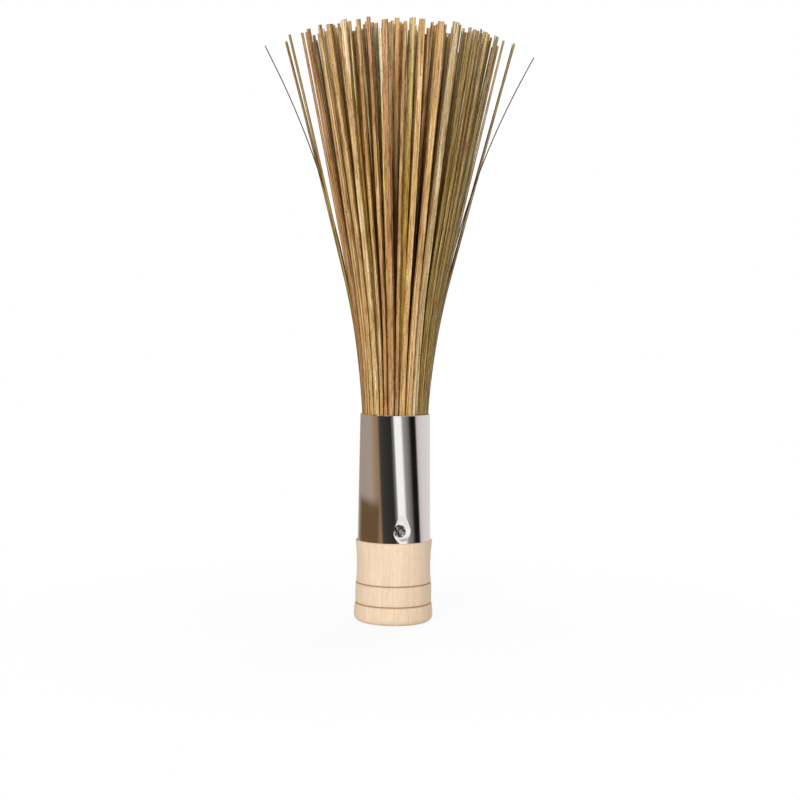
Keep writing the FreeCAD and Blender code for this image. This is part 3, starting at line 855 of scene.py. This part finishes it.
def make_steel(name, chip, roughness):
    """Polished steel of that tint, rougher where it is smudged."""
    material, tree, shader = new_material(name, Metallic=1.0, Base_Color=linear(chip))
    inputs = {"Coordinate": object_place(tree), "Smudges Per Metre": 90.0}
    smudge = add(tree, "ShaderNodeGroup", inputs, node_tree=SMUDGES).outputs["Smudge"]
    rough = ramp(tree, smudge, 0.0, 1.0, roughness, roughness * SMUDGE_DULLING)
    tree.links.new(rough, shader.inputs["Roughness"])
    return material


# %% [markdown]
# The ferrule is thin sheet. A mirror shows every facet, so it is spun in many steps, and the screw's
# pull is modelled in the sheet itself: round the head the wall sinks in a soft dish, which has the
# outline of a drop.

# %% Shape of the pressed dish
DISH_DEPTH = 0.5 * MM
DISH_HALF_WIDTH = 4.4 * MM
DISH_ABOVE = 8.0 * MM
DISH_BELOW = 5.4 * MM
DISH_NARROWING = 0.55


def dish(aside, above):
    """Depth of the pressed dish beside and above the screw: a drop with its point upwards."""
    reach = DISH_ABOVE if above > 0 else DISH_BELOW
    upwards = min(max(above / DISH_ABOVE, 0.0), 1.0)
    half_width = DISH_HALF_WIDTH * (1 - DISH_NARROWING * upwards)
    off = math.hypot(aside / half_width, above / reach)
    return DISH_DEPTH * max(0.0, 1 - off**2)


# %% [markdown]
# The outline runs up the outside of the wall, over its broken edge at the mouth and down the inside.
# The outside is cut into many rows, so that the dish can be pressed into it. Down the back runs the
# closed seam of the rolled sheet, a fine groove at one step of the spin.

# %% Spin the ferrule
FERRULE_STEPS = 384
FERRULE_ROWS = 150
SEAM_DEPTH = 0.3 * MM

rings = turned_profile("ferrule", BESIDE_SCREW)
heights = sorted({height for _, height in rings})
outside = [max(radius for radius, z in rings if z == height) for height in heights]
inside = [min(radius for radius, z in rings if z == height) for height in (heights[0], heights[-1])]
wall = [
    (outside[0] + (outside[-2] - outside[0]) * k / FERRULE_ROWS,
     heights[0] + (heights[-2] - heights[0]) * k / FERRULE_ROWS)
    for k in range(FERRULE_ROWS + 1)
]
outline = wall + [(outside[-1], heights[-1]), (inside[1], heights[-1]), (inside[0], heights[0])]
sleeve = spin_profile(outline, FERRULE_STEPS, closed=True)
wall_middle = (inside[0] + outside[0]) / 2
half_step = math.pi / FERRULE_STEPS
for vert in sleeve.verts:
    flat = Vector((vert.co.x, vert.co.y, 0))
    facing_screw = flat.normalized().dot(SCREW_SIDE)
    if facing_screw > 0:
        vert.co -= SCREW_SIDE * dish(vert.co.dot(BESIDE_SCREW), vert.co.z - screw_place.z)
    elif facing_screw < -math.cos(half_step) and flat.length > wall_middle:
        vert.co += SCREW_SIDE * SEAM_DEPTH
print("ferrule points:", len(sleeve.verts))
FERRULE_STEEL = make_steel("polished_steel", "F2F0EE", 0.05)
smooth(finish_piece("steel_ferrule", sleeve, FERRULE_STEEL, "ferrule"), 30)

# %% [markdown]
# The screw is small, and its solid already has the domed head and the cross recess. Its loose
# triangles are merged in a copy so that the dome can be shaded smooth. Its metal is coloured in
# short slanting patches of dark and bright.

# %% Finish the screw
PATCH_TURN = math.radians(-35)
PATCH_SQUEEZE = 0.3
PATCHES_PER_METRE = 1100.0
PATCH_RANGE = (0.5, 0.6)


def make_screw_steel():
    """Plated steel, dark in slanting patches."""
    material = make_steel("screw_steel", "E8E4E0", 0.16)
    tree = material.node_tree
    slanted = {
        "Vector": object_place(tree), "Rotation": (0, PATCH_TURN, 0), "Scale": (1.0, 1.0, PATCH_SQUEEZE),
    }
    patches = mottle(tree, add(tree, "ShaderNodeMapping", slanted).outputs[0], PATCHES_PER_METRE, detail=2.0)
    # Dark and bright patches in the colour of the metal.
    plating = mix(tree, ramp(tree, patches, *PATCH_RANGE), linear("575250"), linear("E8E4E0"))
    tree.links.new(plating, tree.nodes["Principled BSDF"].inputs["Base Color"])
    return material


screw = bmesh.new()
screw.from_mesh(nodes["screw"].data)
bmesh.ops.remove_doubles(screw, verts=screw.verts, dist=MERGE)
bmesh.ops.dissolve_limit(screw, angle_limit=math.radians(1), verts=screw.verts, edges=screw.edges)
print("screw faces:", len(screw.faces))
smooth(finish_piece("round_head_screw", screw, make_screw_steel(), "screw"), 35)

# %% [markdown]
# The studio is white. Only the camera and mirrors see the background at full white. On everything
# else falls plain soft light from a pale sky and three lamps. The floor keeps a faint shadow near the
# foot and is pure white farther off, so that no horizon shows.

# %% Floor
SHADOW_REACH = (0.05, 0.22)
WHITE_AT_FOOT = 0.88
FLOOR_SIZE = 6
PAPER = (0.9, 0.9, 0.9, 1)
WHITE = (1, 1, 1, 1)


def bare_material(name):
    """A material with an empty node tree."""
    material = bpy.data.materials.new(name)
    material.use_nodes = True
    material.node_tree.nodes.clear()
    return material, material.node_tree


def seen_straight(tree):
    """1 for what the camera or a mirror sees, and 0 for light on its way to a matt surface."""
    path = add(tree, "ShaderNodeLightPath").outputs
    return reckon(tree, "ADD", path["Is Camera Ray"], path["Is Glossy Ray"], use_clamp=True)


def make_floor_material():
    """White paper that glows for the camera and for mirrors, a little less near the foot."""
    material, tree = bare_material("studio_white")
    paper = add(tree, "ShaderNodeBsdfDiffuse", {"Color": PAPER}).outputs[0]
    glow = add(tree, "ShaderNodeEmission", {"Color": WHITE, "Strength": 1.0}).outputs[0]
    distance = length_of(tree, object_place(tree))
    white = ramp(tree, distance, *SHADOW_REACH, WHITE_AT_FOOT, 1.0)
    share = reckon(tree, "MULTIPLY", seen_straight(tree), white)
    mixed = add(tree, "ShaderNodeMixShader", {0: share, 1: paper, 2: glow}).outputs[0]
    tree.links.new(mixed, add(tree, "ShaderNodeOutputMaterial").inputs["Surface"])
    return material


floor_shape = bmesh.new()
bmesh.ops.create_grid(floor_shape, x_segments=1, y_segments=1, size=FLOOR_SIZE)
floor = new_object("floor", floor_shape, make_floor_material())

# %% [markdown]
# The world is the same soft white on every side, so that no side of the brush goes black. It lights
# matt surfaces at about half of full white, which leaves room for the lamps.

# %% World
WORLD_LIGHT = 0.52

world = bpy.data.worlds.new("studio")
bpy.context.scene.world = world
world.use_nodes = True
sky = world.node_tree
sky.nodes.clear()
strength = ramp(sky, seen_straight(sky), 0.0, 1.0, WORLD_LIGHT, 1.0)
background = add(sky, "ShaderNodeBackground", {"Color": WHITE, "Strength": strength}).outputs[0]
sky.links.new(background, add(sky, "ShaderNodeOutputWorld").inputs["Surface"])
print("world light:", WORLD_LIGHT, "and 1.0 for the camera and mirrors")

# %% [markdown]
# A small key lamp at the front left draws the splints apart with narrow shadows. A large fill at the
# right softens them, and a large lamp behind lights the back. None of them shows in the steel.

# %% Lamps
BRUSH_MIDDLE = Vector((0, 0, 0.15))


def add_lamp(name, place, size, power):
    """A lamp of that width and height in metres and that power in watts, turned to the brush."""
    data = bpy.data.lights.new(name, "AREA")
    data.shape = "RECTANGLE"
    data.size, data.size_y = size
    data.energy = power
    lamp = bpy.data.objects.new(name, data)
    bpy.context.scene.collection.objects.link(lamp)
    lamp.location = place
    lamp.rotation_euler = (BRUSH_MIDDLE - Vector(place)).to_track_quat("-Z", "Y").to_euler()
    lamp.visible_glossy = False
    print("lamp:", name, power, "W")


add_lamp("key", place=(-0.4, -1.1, 0.35), size=(0.22, 0.22), power=9.8)
add_lamp("fill", place=(0.9, -0.7, 0.45), size=(0.5, 0.8), power=2.0)
add_lamp("back", place=(0.45, 1.1, 0.5), size=(0.6, 0.6), power=9.0)

# %% [markdown]
# Polished steel is only as good as what it mirrors. A round screen stands about the brush, and only
# mirrors see it: it hides nothing from the camera and throws no light. It is painted in upright
# bands that blend into each other: a dark room in front with one bright gap in it, warm greys on the
# left and a pale wall on the right. A band is given by its bearing from the front, in degrees to the
# right. The bands lean a little, and low on the left is the brown of a table.

# %% Bands of the mirrored room
BANDS = [
    (-180, "D8D2CE"),
    (-150, "A5968B"),
    (-80, "AA9A8E"),
    (-66, "A08872"),
    (-50, "94785F"),
    (-44, "4A4038"),
    (-36, "3A3938"),
    (-6, "2A2A29"),
    (3, "8A8A88"),
    (6, "FFFFFF"),
    (25, "FFFFFF"),
    (32, "9A9A98"),
    (48, "6F6E6C"),
    (56, "2B2825"),
    (62, "14110F"),
    (74, "1E1A18"),
    (80, "C9BFBE"),
    (96, "DCD4D4"),
    (150, "E2DCDB"),
    (180, "D8D2CE"),
]


def turn_share(degrees):
    """A bearing as the gradient gives it: 0.5 in front, more to the right and less to the left."""
    return 0.5 + degrees / 360


def paint_bands(tree, bearing):
    """The colour of the bands at a bearing."""
    bands = add(tree, "ShaderNodeValToRGB", {"Fac": bearing})
    stops = bands.color_ramp.elements
    while len(stops) < len(BANDS):
        stops.new(0.5)
    for stop, (degrees, chip) in zip(stops, BANDS):
        stop.position = turn_share(degrees)
        stop.color = linear(chip)
    return bands.outputs["Color"]


# %% [markdown]
# The bands lean by 28 degrees of bearing to 100 mm of height, and the table is as high as its top
# and lies between its sides. At its foot the screen turns inwards as a pale mat, because the lower
# half of the dish looks down on the floor. Near the brush the mat takes on some of the bands'
# colours, and farther out it is white.

# %% Paint of the screen
SCREEN_LEAN = math.radians(28) / (100 * MM)
LEAN_PIVOT = 0.062
TABLE_TOP = (0.0435, 0.038)
TABLE_SIDE = (-40, -52)
TABLE_END = (-150, -120)
MAT_HEIGHT = 0.5 * MM
MAT_RADII = (0.06, 0.1)
MAT_PALENESS = 0.55


def make_screen_material():
    """The bands, with the table low on the left and the mat at the foot."""
    material, tree = bare_material("mirrored_room")
    place = object_place(tree)
    height = add(tree, "ShaderNodeSeparateXYZ", {"Vector": place}).outputs["Z"]
    to_front = {"Vector": place, "Rotation": (0, 0, math.radians(90))}
    facing = add(tree, "ShaderNodeMapping", to_front).outputs[0]
    bearing = add(tree, "ShaderNodeTexGradient", {"Vector": facing}, gradient_type="RADIAL").outputs["Fac"]
    above = reckon(tree, "SUBTRACT", height, LEAN_PIVOT)
    colour = paint_bands(tree, reckon(tree, "MULTIPLY_ADD", above, SCREEN_LEAN / math.tau, bearing))
    low = ramp(tree, height, *TABLE_TOP)
    left = ramp(tree, bearing, *map(turn_share, TABLE_SIDE))
    ahead = ramp(tree, bearing, *map(turn_share, TABLE_END))
    table = reckon(tree, "MULTIPLY", low, reckon(tree, "MULTIPLY", left, ahead))
    colour = mix(tree, table, colour, linear("6C523A"))
    radius = length_of(tree, stretch(tree, place, (1.0, 1.0, 0.0)))
    pale = ramp(tree, radius, *MAT_RADII, MAT_PALENESS, 1.0)
    on_mat = ramp(tree, height, 2 * MAT_HEIGHT, 1.5 * MAT_HEIGHT)
    colour = mix(tree, reckon(tree, "MULTIPLY", pale, on_mat), colour, linear("F2F0EE"))
    glow = add(tree, "ShaderNodeEmission", {"Color": colour, "Strength": 1.0}).outputs[0]
    tree.links.new(glow, add(tree, "ShaderNodeOutputMaterial").inputs["Surface"])
    return material


# %% [markdown]
# The screen is one bent line spun round the brush: along the floor, then up. It is left open above,
# where the white of the world lies.

# %% Screen for the steel to mirror
SCREEN_RADIUS = 0.22
SCREEN_HEIGHT = 0.9
SCREEN_STEPS = 96
MAT_INNER = 0.024

screen_shape = bmesh.new()
corners = [(MAT_INNER, MAT_HEIGHT), (SCREEN_RADIUS, MAT_HEIGHT), (SCREEN_RADIUS, SCREEN_HEIGHT)]
rod = [screen_shape.verts.new((0, -radius, height)) for radius, height in corners]
sides = [screen_shape.edges.new(pair) for pair in zip(rod, rod[1:])]
bmesh.ops.spin(
    screen_shape, geom=rod + sides, cent=(0, 0, 0), axis=(0, 0, 1),
    angle=math.tau, steps=SCREEN_STEPS, use_merge=True,
)
screen = new_object("screen", screen_shape, make_screen_material())
for sight in ("visible_camera", "visible_diffuse", "visible_transmission", "visible_shadow"):
    setattr(screen, sight, False)
print("screen bands:", len(BANDS))
